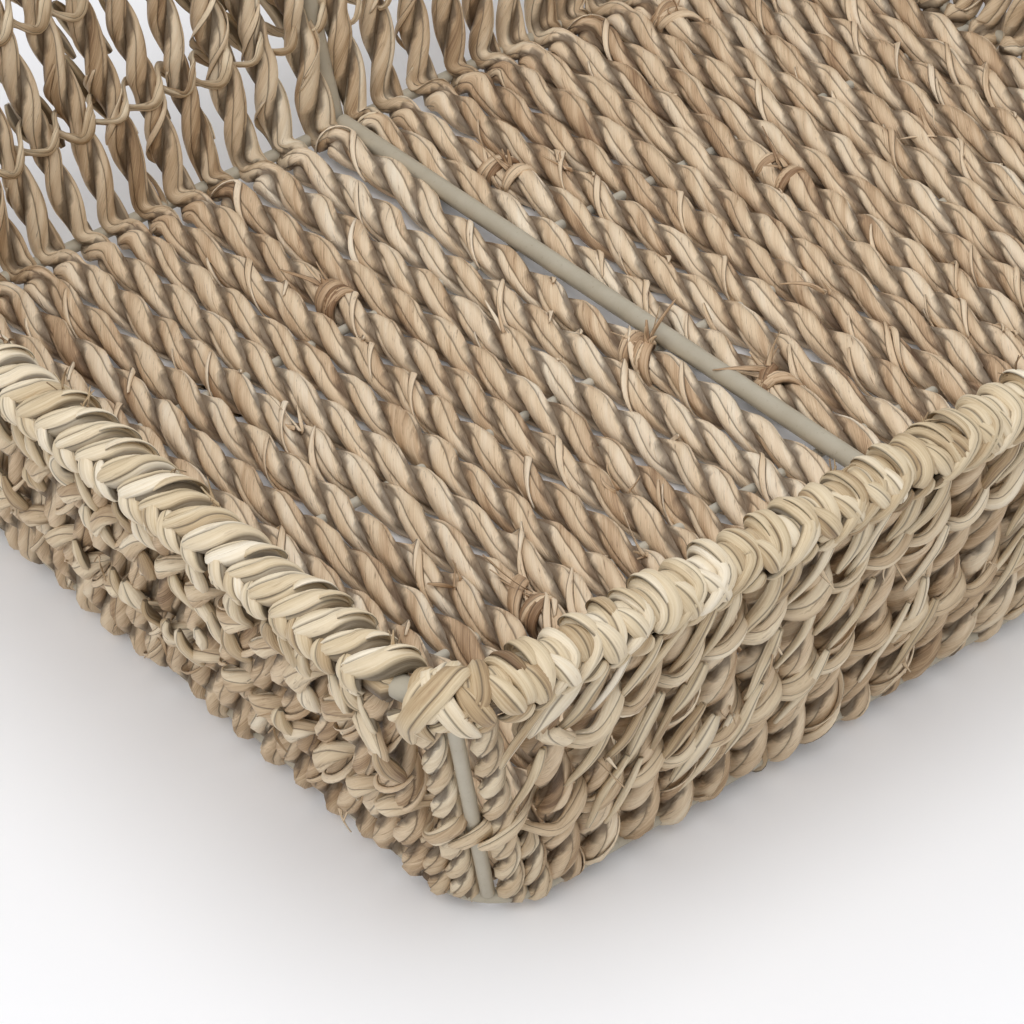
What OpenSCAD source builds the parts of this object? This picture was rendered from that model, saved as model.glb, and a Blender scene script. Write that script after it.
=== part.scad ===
// Low rectangular bread basket: a welded wire frame covered with twisted seagrass cord.
// Z is up, X runs along the basket, and the origin is under its middle, on the table.

/* [Basket] */
// Outer length of the basket where it meets the table
foot_l = 291; // [240:1:360]
// Outer width of the basket where it meets the table
foot_w = 236; // [190:1:300]
// Height from the table to the top of the rim
height = 80; // [64:1:110]
// Outward lean of the two end walls, in degrees
end_lean = 17; // [8:0.1:22]
// Outward lean of the two long walls, in degrees
side_lean = 15; // [8:0.1:22]

/* [Frame] */
// Diameter of the rod that the rim is braided on
rim_rod_d = 4.6; // [3:0.1:5.5]
// Diameter of the wire ring round the foot
foot_ring_d = 3; // [2:0.1:3.6]
// Diameter of the four corner posts
post_d = 2.8; // [2:0.1:4]
// Diameter of the bar across the middle and its two uprights
bar_d = 4.4; // [3:0.1:5]
// Diameter of the wires that thread through the base cords
cross_wire_d = 2.2; // [1.6:0.1:2.6]
// Distance of the outer cross wires from the middle one
cross_wire_pitch = 50; // [30:1:70]
// Corner radius of the foot ring, to the middle of its wire
foot_corner_r = 14; // [12:0.5:24]
// Corner radius of the rim rod, to the middle of the rod
rim_corner_r = 15; // [13:0.5:26]

/* [Seagrass] */
// Diameter of the twisted cord of the base and the walls
cord_d = 8.2; // [7:0.1:9]
// Gap between neighbouring cords at the foot
cord_gap = 0.6; // [0.5:0.1:2]
// Depth by which the cords are pressed flat on the table
cord_flat = 0.15; // [0.1:0.05:0.4]
// Diameter of the thin tight cords beside each corner post
corner_cord_d = 4.8; // [3.5:0.1:5.4]
// Diameter of the twined strands that tie the wall cords
twine_d = 3.2; // [2:0.1:4]
// Height of the lower twined row
lower_twine_z = 30; // [22:1:36]
// Height of the upper twined row
upper_twine_z = 56; // [46:1:56]
// Outer diameter of the braid round the rim
rim_d = 10.9; // [9.5:0.1:14]
// Length of rim rod left bare at each corner, between two braids
bare_rim = 4; // [2:0.5:8]

/* [Clearances] */
// Gap left round each cord, strand and braid
seat_gap = 0.3; // [0.2:0.05:0.4]
// Gap left at each weld of the frame
weld_gap = 0.1; // [0.05:0.05:0.2]

/* [Hidden] */
$fn = 48;

FRONT = -1;
BACK = 1;
LEFT = -1;
RIGHT = 1;

cord_r = cord_d / 2;
cord_z = cord_r - cord_flat;
cord_pitch = cord_d + cord_gap;
rim_r = rim_d / 2;
rim_z = height - rim_r;

// Lengths worked out below are kept to a hundredth of a millimetre
function hundredth(x) = round(x * 100) / 100;

// The foot ring lies in the middle of the loops that wrap it
ring_half_l = hundredth(foot_l / 2 - cord_r);
ring_half_w = hundredth(foot_w / 2 - cord_r);
ring_z = cord_r;
// The rim rod lies on the middle plane of each wall
rim_half_l = hundredth(ring_half_l + (rim_z - ring_z) * tan(end_lean));
rim_half_w = hundredth(ring_half_w + (rim_z - ring_z) * tan(side_lean));

// Straight parts of the two rings, from the middle of a side to the start of its corner
foot_run_l = ring_half_l - foot_corner_r;
foot_run_w = ring_half_w - foot_corner_r;
rim_run_l = rim_half_l - rim_corner_r;
rim_run_w = rim_half_w - rim_corner_r;

// Whole cords on each side of the middle
base_count = floor((ring_half_l - 2 * cord_r - seat_gap) / cord_pitch);
side_count = floor(foot_run_l / cord_pitch);
end_count = floor(foot_run_w / cord_pitch);

// Where the cords stop short of the rim rod and of the foot ring
rim_stop = rim_r + seat_gap;
foot_stop = cord_r + seat_gap;
// Angle between a corner post and the thin cord beside it, round the corner
post_to_cord = post_d / 2 + corner_cord_d / 2 + seat_gap;
corner_step = 2 * asin(post_to_cord / (2 * foot_corner_r)) + 1;
// A thin cord leans, so the low side of its end sets how high it stands on the foot ring
corner_foot_stop = foot_ring_d / 2 + seat_gap + corner_cord_d / 2 * tan(end_lean);

bar_r = bar_d / 2;
cross_r = cross_wire_d / 2;
cross_z = hundredth(cord_z - cross_r + seat_gap / 2);
bar_z = cross_z + cross_r + weld_gap + bar_r;
twine_r = twine_d / 2;
twine_offset = cord_r + seat_gap + twine_r;
// Depth of the block that trims the undersides
trim = 20;

// A round rod from one point to another
module rod(from, to, r) {
    run = to - from;
    translate(from)
        rotate([0, acos(run.z / norm(run)), atan2(run.y, run.x)])
            cylinder(r = r, h = norm(run));
}

// Straight rods along X and along Y, centred on the middle of the basket
module rod_x(half, y, z, r) {
    translate([-half, y, z])
        rotate([0, 90, 0])
            cylinder(r = r, h = 2 * half);
}
module rod_y(half, x, z, r) {
    translate([x, -half, z])
        rotate([-90, 0, 0])
            cylinder(r = r, h = 2 * half);
}

// A closed ring of round wire with four rounded corners
module wire_ring(half_l, half_w, corner_r, z, r) {
    run_l = half_l - corner_r;
    run_w = half_w - corner_r;
    for (side = [-1, 1]) {
        rod_x(run_l, side * half_w, z, r);
        rod_y(run_w, side * half_l, z, r);
    }
    for (corner = [[1, 1, 0], [-1, 1, 90], [-1, -1, 180], [1, -1, 270]])
        translate([corner[0] * run_l, corner[1] * run_w, z])
            rotate([0, 0, corner[2]])
                rotate_extrude(angle = 90)
                    translate([corner_r, 0])
                        circle(r = r);
}

// A point on the rounded corner of the first quarter, at an angle from X
function foot_corner(a) = [
    foot_run_l + foot_corner_r * cos(a), foot_run_w + foot_corner_r * sin(a), ring_z
];
function rim_corner(a) = [
    rim_run_l + rim_corner_r * cos(a), rim_run_w + rim_corner_r * sin(a), rim_z
];

// Half length and half width of the middle line of the walls at a height
function wall_half_l(z) = ring_half_l + (z - ring_z) * tan(end_lean);
function wall_half_w(z) = ring_half_w + (z - ring_z) * tan(side_lean);
function wall_corner_r(z) =
    foot_corner_r + (rim_corner_r - foot_corner_r) * (z - ring_z) / (rim_z - ring_z);
// Distance of a twined strand from the middle line of a wall that leans
function twine_shift(lean) = twine_offset / cos(lean);

// Everything below the table is cut away
module below_table() {
    translate([-foot_l, -foot_w, -trim])
        cube([2 * foot_l, 2 * foot_w, trim]);
}

// ---- Wire frame ----

module rim_rod() {
    color("#b0a48f")
        wire_ring(rim_half_l, rim_half_w, rim_corner_r, rim_z, rim_rod_d / 2);
}

module foot_ring() {
    color("#b0a48f")
        wire_ring(ring_half_l, ring_half_w, foot_corner_r, ring_z, foot_ring_d / 2);
}

// A rod from the foot ring up to the rim rod, welded to both
module strut(low, high, r) {
    run = (high - low) / norm(high - low);
    rod(low + run * (foot_ring_d / 2 + weld_gap), high - run * (rim_rod_d / 2 + weld_gap), r);
}

// One post from the foot ring to the rim rod at the middle of a corner
module corner_post(side, face) {
    color("#b0a48f")
        to_corner(side, face)
            strut(foot_corner(45), rim_corner(45), post_d / 2);
}

// Mirrors a first-quarter piece to another corner
module to_corner(side, face) {
    mirror([side < 0 ? 1 : 0, 0, 0])
        mirror([0, face < 0 ? 1 : 0, 0])
            children();
}

// One upright in the middle of a long wall
module upright(face) {
    color("#b0a48f")
        to_corner(1, face)
            strut([0, ring_half_w, ring_z], [0, rim_half_w, rim_z], bar_r);
}

// The bar across the base ends at the two uprights
module base_bar() {
    color("#b0a48f")
        rod_y(ring_half_w - bar_r / cos(side_lean) - weld_gap, 0, bar_z, bar_r);
}

// One wire that threads through the base cords, welded to the foot ring at both ends
module cross_wire(row) {
    color("#b0a48f")
        rod_x(ring_half_l - foot_ring_d / 2 - weld_gap, row * cross_wire_pitch, cross_z, cross_r);
}

// Room for the three cross wires
module cross_wire_room() {
    for (row = [-1, 0, 1])
        rod_x(foot_l, row * cross_wire_pitch, cross_z, cross_r + seat_gap);
}

// ---- Seagrass cords ----

// Section of the loops round the foot ring, with room for the ring
module wrap_section() {
    difference() {
        circle(r = cord_r);
        circle(r = foot_ring_d / 2 + seat_gap);
    }
}

// The loops of cord round one long side of the foot ring, on both sides of the upright
module foot_wrap_side(face) {
    start = bar_r + seat_gap;
    color("#a8957b")
        to_corner(1, face)
            for (side = [LEFT, RIGHT])
                to_corner(side, 1)
                    translate([start, ring_half_w, ring_z])
                        rotate([0, 90, 0])
                            linear_extrude(height = foot_run_l - start)
                                wrap_section();
}

// The loops of cord round one end of the foot ring, with room for the cross wires
module foot_wrap_end(side) {
    color("#a8957b")
        to_corner(side, 1)
            difference() {
                translate([ring_half_l, -foot_run_w, ring_z])
                    rotate([-90, 0, 0])
                        linear_extrude(height = 2 * foot_run_w)
                            wrap_section();
                for (row = [-1, 0, 1])
                    translate([ring_half_l - 2 * cord_r, row * cross_wire_pitch, cross_z])
                        rotate([0, 90, 0])
                            cylinder(r = cross_r + seat_gap, h = 2 * cord_r);
            }
}

// Parallel cords along Y, left out where the bar lies
module base_cords() {
    color("#b49f87")
        difference() {
            for (side = [LEFT, RIGHT], i = [1 : base_count])
                rod_y(base_reach(i), side * i * cord_pitch, cord_z, cord_r);
            cross_wire_room();
            below_table();
        }
}

// The last cords stop shorter, where the foot ring turns its corner
function base_reach(i) =
    i <= side_count ? ring_half_w - foot_stop : foot_run_w + foot_corner_r * cos(45) - cord_r;

// One straight cord of a wall, between the loops on the foot ring and the rim braid
module wall_cord(low, high) {
    run = (high - low) / norm(high - low);
    rod(low + run * foot_stop, high - run * rim_stop, cord_r);
}

// The cords of a wall fan out, so that they fill its longer top
module side_wall_cords(face) {
    color("#a08c74")
        to_corner(1, face)
            for (side = [LEFT, RIGHT], i = [1 : side_count]) {
                x = side * i * cord_pitch;
                wall_cord([x, ring_half_w, ring_z],
                          [x * rim_run_l / foot_run_l, rim_half_w, rim_z]);
            }
}

module end_wall_cords(side) {
    color("#a08c74")
        to_corner(side, 1)
            for (j = [-end_count : end_count]) {
                y = j * cord_pitch;
                wall_cord([ring_half_l, y, ring_z],
                          [rim_half_l, y * rim_run_w / foot_run_w, rim_z]);
            }
}

// Two thin cords that stand on the foot ring, one on each side of a corner post
module corner_cords(side, face) {
    color("#a8957b")
        to_corner(side, face)
            for (turn = [-1, 1]) {
                low = foot_corner(45 + turn * corner_step);
                high = rim_corner(45 + turn * corner_step);
                run = (high - low) / norm(high - low);
                rod(low + run * corner_foot_stop, high - run * rim_stop, corner_cord_d / 2);
            }
}

// ---- Twined rows ----

// A strand all round the basket, outside or inside the wall cords
module lower_twine(out) {
    z = lower_twine_z;
    color("#ab9678")
        wire_ring(hundredth(wall_half_l(z) + out * twine_shift(end_lean)),
                  hundredth(wall_half_w(z) + out * twine_shift(side_lean)),
                  hundredth(wall_corner_r(z) + out * twine_offset), z, twine_r);
}

// A pair of strands along a long wall, one on each face of its cords
module upper_twine_side(face) {
    z = upper_twine_z;
    reach = wall_half_l(z) - wall_corner_r(z);
    color("#ab9678")
        to_corner(1, face)
            for (out = [-1, 1]) {
                y = wall_half_w(z) + out * twine_shift(side_lean);
                rod_x(reach, y, z, twine_r);
            }
}

// A pair of strands along an end wall
module upper_twine_end(side) {
    z = upper_twine_z;
    reach = wall_half_w(z) - wall_corner_r(z);
    color("#ab9678")
        to_corner(side, 1)
            for (out = [-1, 1]) {
                x = wall_half_l(z) + out * twine_shift(end_lean);
                rod_y(reach, x, z, twine_r);
            }
}

// ---- Rim ----

// Section of the braid: a ring of seagrass with room for the rim rod
module braid_section() {
    difference() {
        circle(r = rim_r);
        circle(r = rim_rod_d / 2 + seat_gap);
    }
}

// Room in the braid for a rod that is welded to the rim rod
module strut_room(low, high, r) {
    run = (high - low) / norm(high - low);
    rod(high - run * 2 * rim_r, high, r + seat_gap);
}

// The braid of a long side also covers both corners
module rim_braid_side(face) {
    color("#c9b797")
        to_corner(1, face) {
            difference() {
                translate([-rim_run_l, rim_half_w, rim_z])
                    rotate([0, 90, 0])
                        linear_extrude(height = 2 * rim_run_l)
                            braid_section();
                strut_room([0, ring_half_w, ring_z], [0, rim_half_w, rim_z], bar_r);
            }
            for (side = [LEFT, RIGHT])
                to_corner(side, 1)
                    difference() {
                        translate([rim_run_l, rim_run_w, rim_z])
                            rotate_extrude(angle = 90)
                                translate([rim_corner_r, 0])
                                    braid_section();
                        strut_room(foot_corner(45), rim_corner(45), post_d / 2);
                    }
        }
}

// The braid of an end stops short of the corners and leaves the rod bare there
module rim_braid_end(side) {
    reach = rim_run_w - bare_rim;
    color("#c9b797")
        to_corner(side, 1)
            translate([rim_half_l, -reach, rim_z])
                rotate([-90, 0, 0])
                    linear_extrude(height = 2 * reach)
                        braid_section();
}

rim_rod();
foot_ring();
corner_post(LEFT, FRONT);  // corner_post_front_left
corner_post(RIGHT, FRONT);  // corner_post_front_right
corner_post(LEFT, BACK);  // corner_post_back_left
corner_post(RIGHT, BACK);  // corner_post_back_right
upright(FRONT);  // upright_front
upright(BACK);  // upright_back
base_bar();
cross_wire(-1);  // cross_wire_front
cross_wire(0);  // cross_wire_middle
cross_wire(1);  // cross_wire_back
foot_wrap_side(FRONT);  // foot_wrap_front
foot_wrap_side(BACK);  // foot_wrap_back
foot_wrap_end(LEFT);  // foot_wrap_left
foot_wrap_end(RIGHT);  // foot_wrap_right
base_cords();
side_wall_cords(FRONT);  // front_wall_cords
side_wall_cords(BACK);  // back_wall_cords
end_wall_cords(LEFT);  // left_wall_cords
end_wall_cords(RIGHT);  // right_wall_cords
corner_cords(LEFT, FRONT);  // corner_cords_front_left
corner_cords(RIGHT, FRONT);  // corner_cords_front_right
corner_cords(LEFT, BACK);  // corner_cords_back_left
corner_cords(RIGHT, BACK);  // corner_cords_back_right
lower_twine(1);  // lower_twine_outer
lower_twine(-1);  // lower_twine_inner
upper_twine_side(FRONT);  // upper_twine_front
upper_twine_side(BACK);  // upper_twine_back
upper_twine_end(LEFT);  // upper_twine_left
upper_twine_end(RIGHT);  // upper_twine_right
rim_braid_side(FRONT);  // rim_braid_front
rim_braid_side(BACK);  // rim_braid_back
rim_braid_end(LEFT);  // rim_braid_left
rim_braid_end(RIGHT);  // rim_braid_right
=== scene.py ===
import math

import bpy
import numpy as np
from mathutils import Matrix, Vector


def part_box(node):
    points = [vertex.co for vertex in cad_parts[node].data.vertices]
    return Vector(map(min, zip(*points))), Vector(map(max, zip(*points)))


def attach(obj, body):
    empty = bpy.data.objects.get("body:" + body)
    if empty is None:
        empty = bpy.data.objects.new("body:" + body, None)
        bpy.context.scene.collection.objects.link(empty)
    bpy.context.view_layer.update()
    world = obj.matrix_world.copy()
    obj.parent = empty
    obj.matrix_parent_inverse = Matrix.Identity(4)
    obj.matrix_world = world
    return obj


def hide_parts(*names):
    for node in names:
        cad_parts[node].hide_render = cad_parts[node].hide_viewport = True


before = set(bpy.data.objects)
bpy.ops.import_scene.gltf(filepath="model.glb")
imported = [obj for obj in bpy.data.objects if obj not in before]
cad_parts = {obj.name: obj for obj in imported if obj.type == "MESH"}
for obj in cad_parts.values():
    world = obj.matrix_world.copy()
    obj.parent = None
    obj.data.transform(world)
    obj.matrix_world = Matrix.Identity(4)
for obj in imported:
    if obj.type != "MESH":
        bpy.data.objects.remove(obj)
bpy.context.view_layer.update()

# Lengths in this script are millimetres, as in the part's source; meshes are written in metres.
MM = 0.001
TAU = 2 * math.pi

# ---- Sizes of the weave; counts of cords are for one side of the middle ----
CORD_D = 8.2
CORD_PITCH = 8.8
BASE_LAY = 28.0
WALL_LAY = 25.0
CORD_Z = 4.15
TOP_GAP = 3.6  # from the rim's middle down to the cords' ends
CORD_FACE = 3.6  # from a cord's middle to where frayed ends leave it
SIDE_COUNT = 14
END_COUNT = 11
BASE_COUNT = 15
BASE_PIECES = 4
CORDS_PER_PIECE = 8
FOOT_CORNER_R = 14.0
RIM_CORNER_R = 15.0
CORNER_CORD_D = 5.7
CORNER_LAY = 17.0
CORNER_STEP = 17.8  # degrees from a corner post to the thin cord beside it
CORNER_WRAP_D = 6.4
CORNER_WRAP_STEP = 38  # degrees from a corner post to the wrap beyond that cord
LOWER_TWINE_Z = 30.0
UPPER_TWINE_Z = 57.0
BARE_RIM = 4.0
SIDE_PERIOD = 5.7  # from stitch to stitch on the front and back rims
END_PERIOD = 6.8
STEP = 1.0
CORNER_LINE_STEP = 0.7

# Seeds of the random draws
LONG_SEED, END_SEED, CORNER_SEED = 1000, 2000, 3000
LOWER_SEED, UPPER_SEED = 4000, 4100
RIM_SEED, BLADE_SEED = 5000, 5100

UP = np.array([0.0, 0.0, 1.0])


def node_box(name):
    """Lowest and highest corner of a CAD node, in millimetres."""
    low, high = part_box(name)
    return np.array(low) / MM, np.array(high) / MM


def ring_sizes(name):
    """Half length, half width and height of the middle of a ring of wire."""
    low, high = node_box(name)
    r = (high[2] - low[2]) / 2
    return high[0] - r, high[1] - r, (low[2] + high[2]) / 2


FOOT_L, FOOT_W, FOOT_Z = ring_sizes("foot_ring")
RIM_L, RIM_W, RIM_Z = ring_sizes("rim_rod")
BRAID_LOW, BRAID_HIGH = node_box("rim_braid_left")
RIM_R = (BRAID_HIGH[2] - BRAID_LOW[2]) / 2
FOOT_RUN_L, FOOT_RUN_W = FOOT_L - FOOT_CORNER_R, FOOT_W - FOOT_CORNER_R
RIM_RUN_L, RIM_RUN_W = RIM_L - RIM_CORNER_R, RIM_W - RIM_CORNER_R


# ---- Lines ----

def unit(v):
    return v / np.linalg.norm(v, axis=-1, keepdims=True)


def smooth(x):
    x = np.clip(x, 0, 1)
    return x * x * (3 - 2 * x)


def leaf_shape(f, full=0.5):
    """0 at both ends and 1 where f is full."""
    return np.sin(math.pi * np.clip(f, 0, 1) ** (math.log(0.5) / math.log(full))) ** 0.6


def drift(rng, s, period):
    """A smooth random value along s, from -1 to 1."""
    knots = rng.uniform(-1, 1, int((s[-1] - s[0]) / period) + 4)
    x = (s - s[0]) / period + rng.uniform()
    i = x.astype(int)
    f = smooth(x - i)
    return knots[i] * (1 - f) + knots[i + 1] * f


def lengths(points):
    """Distance along a line, at each of its points."""
    steps = np.linalg.norm(np.diff(points, axis=0), axis=1)
    return np.concatenate([[0.0], np.cumsum(steps)])


def resampled(curves, step):
    """The first curve in even steps, and the other arrays at the same places."""
    s = lengths(curves[0])
    t = np.linspace(0, s[-1], max(int(round(s[-1] / step)), 3) + 1)
    return [np.stack([np.interp(t, s, column) for column in a.T], 1) for a in curves]


def rounded(corners, radii, step):
    """A line through corners, rounded at each inner one."""
    corners = [np.array(c, float) for c in corners]
    points = [corners[0]]
    for a, b, c, radius in zip(corners, corners[1:], corners[2:], radii):
        u, v = unit(a - b), unit(c - b)
        half = math.acos(np.clip(u @ v, -1, 1)) / 2
        p, q = b + u * radius / math.tan(half), b + v * radius / math.tan(half)
        middle = b + unit(u + v) * radius / math.sin(half)
        for f in np.linspace(0, 1, 12):
            points.append(middle + unit((1 - f) * (p - middle) + f * (q - middle)) * radius)
    points.append(corners[-1])
    return resampled([np.array(points)], step)[0]


def through(points, per_span, closed=False):
    """A smooth line through points (Catmull-Rom), which may have any number of columns."""
    p = np.array(points, float)
    if closed:
        p = np.concatenate([p[-1:], p, p[:2]])
    else:
        p = np.concatenate([2 * p[:1] - p[1:2], p, 2 * p[-1:] - p[-2:-1]])
    t = np.linspace(0, 1, per_span, endpoint=False)[None, :, None]
    a, b, c, d = (p[k:len(p) - 3 + k, None, :] for k in range(4))
    line = 0.5 * (2 * b + (c - a) * t + (2 * a - 5 * b + 4 * c - d) * t ** 2
                  + (3 * b - a - 3 * c + d) * t ** 3)
    line = line.reshape(-1, p.shape[1])
    return line if closed else np.concatenate([line, p[-2:-1]])


def axes_by_side(points, hint):
    """Side and outward direction of a line; the side stays near the hint."""
    tangent = unit(np.gradient(points, axis=0))
    hint = np.broadcast_to(np.array(hint, float), points.shape)
    side = unit(hint - (hint * tangent).sum(1, keepdims=True) * tangent)
    return side, np.cross(side, tangent)


def axes(line, hint):
    """Outward direction of a line, which stays near the hint, and its side."""
    tangent = unit(np.gradient(line, axis=0))
    side = unit(np.cross(tangent, hint))
    return np.cross(side, tangent), side


def rolled(out, side, angle):
    """Section axes turned by an angle about the line."""
    c, s = np.cos(angle)[:, None], np.sin(angle)[:, None]
    return c * out + s * side, c * side - s * out


class Loop:
    """A closed line with rounded corners, clockwise seen from above from the middle of the front."""

    def __init__(self, half_l, half_w, corner_r, z):
        run_l, run_w = half_l - corner_r, half_w - corner_r
        points, normals = [(0, -half_w)], [(0, -1)]
        for sx, sy, start in ((-1, -1, -90), (-1, 1, -180), (1, 1, -270), (1, -1, -360)):
            for a in np.radians(np.linspace(start, start - 90, 25)):
                x, y = math.cos(a), math.sin(a)
                points.append((sx * run_l + corner_r * x, sy * run_w + corner_r * y))
                normals.append((x, y))
        points.append((0, -half_w))
        normals.append((0, -1))
        self.points = np.array([(x, y, z) for x, y in points], float)
        self.normals = np.array([(x, y, 0) for x, y in normals], float)
        self.s = lengths(self.points)
        self.length = self.s[-1]
        self.run_l, self.run_w, self.arc = run_l, run_w, corner_r * math.pi / 2

    def at(self, t):
        """Points and outward normals at distances along the line."""
        t = np.mod(t, self.length)
        p = np.stack([np.interp(t, self.s, self.points[:, k]) for k in range(3)], -1)
        n = unit(np.stack([np.interp(t, self.s, self.normals[:, k]) for k in range(3)], -1))
        return p, n


# ---- Meshes ----

LOWEST = 0.00004  # metres above the floor
UV_SCALE = 0.1


def add_object(name, data):
    """A new object in the scene."""
    thing = bpy.data.objects.new(name, data)
    bpy.context.scene.collection.objects.link(thing)
    return thing


class Store:
    """Collects closed swept solids and writes them as one mesh."""

    def __init__(self):
        self.points, self.shades, self.loops, self.starts, self.uvs = [], [], [], [], []
        self.count, self.corners = 0, 0

    def add(self, points, u, wrap, v, shade):
        """points and shade (n, m, 3) are rings; u (n, m) and v (n) are millimetres round and along; wrap is
        the way round the whole ring."""
        n, m = points.shape[:2]
        index = self.count + np.arange(n * m).reshape(n, m)
        nxt = np.roll(index, -1, 1)
        u_next = np.roll(u, -1, 1)
        u_next[:, -1] += wrap
        vv = np.repeat(v[:, None], m, 1)
        quads = np.stack([index[:-1], nxt[:-1], nxt[1:], index[1:]], -1).reshape(-1, 4)
        quad_u = np.stack([u[:-1], u_next[:-1], u_next[1:], u[1:]], -1).reshape(-1)
        quad_v = np.stack([vv[:-1], vv[:-1], vv[1:], vv[1:]], -1).reshape(-1)
        caps = np.concatenate([index[0][::-1], index[-1]])
        cap_u = np.concatenate([u[0][::-1], u[-1]])
        cap_v = np.concatenate([vv[0], vv[-1]])
        starts = np.concatenate([np.arange(len(quads)) * 4, len(quads) * 4 + np.array([0, m])])
        self.points.append(points.reshape(-1, 3))
        self.shades.append(shade.reshape(-1, 3))
        self.loops.append(np.concatenate([quads.reshape(-1), caps]))
        self.uvs.append(np.stack([np.concatenate([quad_u, cap_u]), np.concatenate([quad_v, cap_v])], -1))
        self.starts.append(starts + self.corners)
        self.count += n * m
        self.corners += len(quads) * 4 + 2 * m

    def piece(self, name, material, slot, nodes):
        """Writes the mesh as a piece that rides on the basket and stands for these CAD nodes."""
        points = np.concatenate(self.points) * MM
        points[:, 2] = np.maximum(points[:, 2], LOWEST)
        loops, starts = np.concatenate(self.loops), np.concatenate(self.starts)
        mesh = bpy.data.meshes.new(name)
        mesh.vertices.add(len(points))
        mesh.vertices.foreach_set("co", points.astype(np.float32).ravel())
        mesh.loops.add(len(loops))
        mesh.loops.foreach_set("vertex_index", loops.astype(np.int32))
        mesh.polygons.add(len(starts))
        mesh.polygons.foreach_set("loop_start", starts.astype(np.int32))
        mesh.update(calc_edges=True)
        mesh.polygons.foreach_set("use_smooth", np.ones(len(starts), bool))
        uv = mesh.uv_layers.new(name="grain")
        uv.data.foreach_set("uv", (np.concatenate(self.uvs) * UV_SCALE).astype(np.float32).ravel())
        shade = mesh.attributes.new("grass", "FLOAT_COLOR", "POINT")
        rgba = np.ones((len(points), 4), np.float32)
        rgba[:, :3] = np.concatenate(self.shades)
        shade.data.foreach_set("color", rgba.ravel())
        mesh.materials.append(material)
        mesh.update()
        piece = add_object(name, mesh)
        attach(piece, "root")
        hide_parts(*nodes)


def whole(store):
    """All of a strand goes into one store."""
    return [(store, 0, None)]


# Where the section's points lie across one blade, how far each stands out, and how far it is from an edge;
# the last sets the painted shade in the creases between blades
BLADE_AT = np.array([0.0, 0.09, 0.5, 0.9])
BLADE_LIFT = np.array([-0.15, 0.05, 0.055, -0.01])
BLADE_EDGE = np.array([0.0, 0.6, 1.0, 0.75])
TIP = 0.35  # size of a strand's ends
SQUARE_HIGH, SQUARE_WIDE = 0.88, 0.92  # below 1 the section is squarer than an ellipse


def strand(stores, line, out, side, high, wide, blades, rng, tone, ends, inner=0.75, spin=0.0,
           spread=0.2, shadow=-0.1):
    """A bundle of blades as one lobed solid. stores is a list of (store, first ring, last ring).
    high and wide are half sizes; inner is the share of high on the side away from out; ends are the
    lengths over which the strand thins out. Painted shade darkens the colour where the surface turns away
    from out: shadow is the cosine where this painted shade is darkest."""
    s = lengths(line)
    n = len(s)
    high, wide = np.broadcast_to(high, n), np.broadcast_to(wide, n)
    edges = np.stack([TAU * (j + rng.uniform(-0.15, 0.15)) / blades + 0.16 * drift(rng, s, 18)
                      for j in range(blades)]) + spin
    after = np.roll(edges, -1, 0)
    after[-1] += TAU
    angle = edges[:, None] + BLADE_AT[None, :, None] * (after - edges)[:, None]
    angle = angle.reshape(-1, n).T
    proud = np.stack([0.05 * drift(rng, s, 20) + rng.uniform(-0.03, 0.03) for _ in range(blades)])
    k = (1 + BLADE_LIFT[None, :, None] + proud[:, None]).reshape(-1, n).T
    fade = np.ones(n)
    for reach, away in zip(ends, (s, s[-1] - s)):
        if reach:
            fade *= TIP + (1 - TIP) * smooth(away / reach)
    k = k * fade[:, None]
    x, y = np.cos(angle), np.sin(angle)
    x = np.sign(x) * np.abs(x) ** SQUARE_HIGH
    y = np.sign(y) * np.abs(y) ** SQUARE_WIDE
    x = np.where(x < 0, x * inner, x) * high[:, None] * k
    y = y * wide[:, None] * k
    points = line[:, None] + out[:, None] * x[..., None] + side[:, None] * y[..., None]
    around = TAU * math.sqrt((high.mean() ** 2 + wide.mean() ** 2) / 2)
    tones = np.stack([tone + spread * rng.uniform(-1, 1) + 0.10 * drift(rng, s, 30)
                      for _ in range(blades)])
    # Painted shade on the side turned away from out: 1 where the surface faces out, down to 0 where it
    # turns away
    lit_side_mask = smooth((np.cos(angle) - shadow) / 0.5)
    shade = np.stack([np.repeat(tones, len(BLADE_AT), 0).T, np.tile(BLADE_EDGE, blades) * lit_side_mask,
                      np.full(angle.shape, rng.uniform())], -1)
    u = angle / TAU * around + rng.uniform(0, 500)
    v = s + rng.uniform(0, 5000)
    for store, a, b in stores:
        part = slice(a, None if b is None else b + 1)
        store.add(points[part], u[part], around, v[part], shade[part])


# The same for a flat blade: its section's points across it, and how far each stands out
RIBBON_AT = np.array([-1.0, -0.62, -0.1, 0.5, 1.0, 0.5, 0.0, -0.5])
RIBBON_LIFT = np.array([0.0, 0.5, 0.36, 0.5, 0.0, -0.5, -0.5, -0.5])


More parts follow.
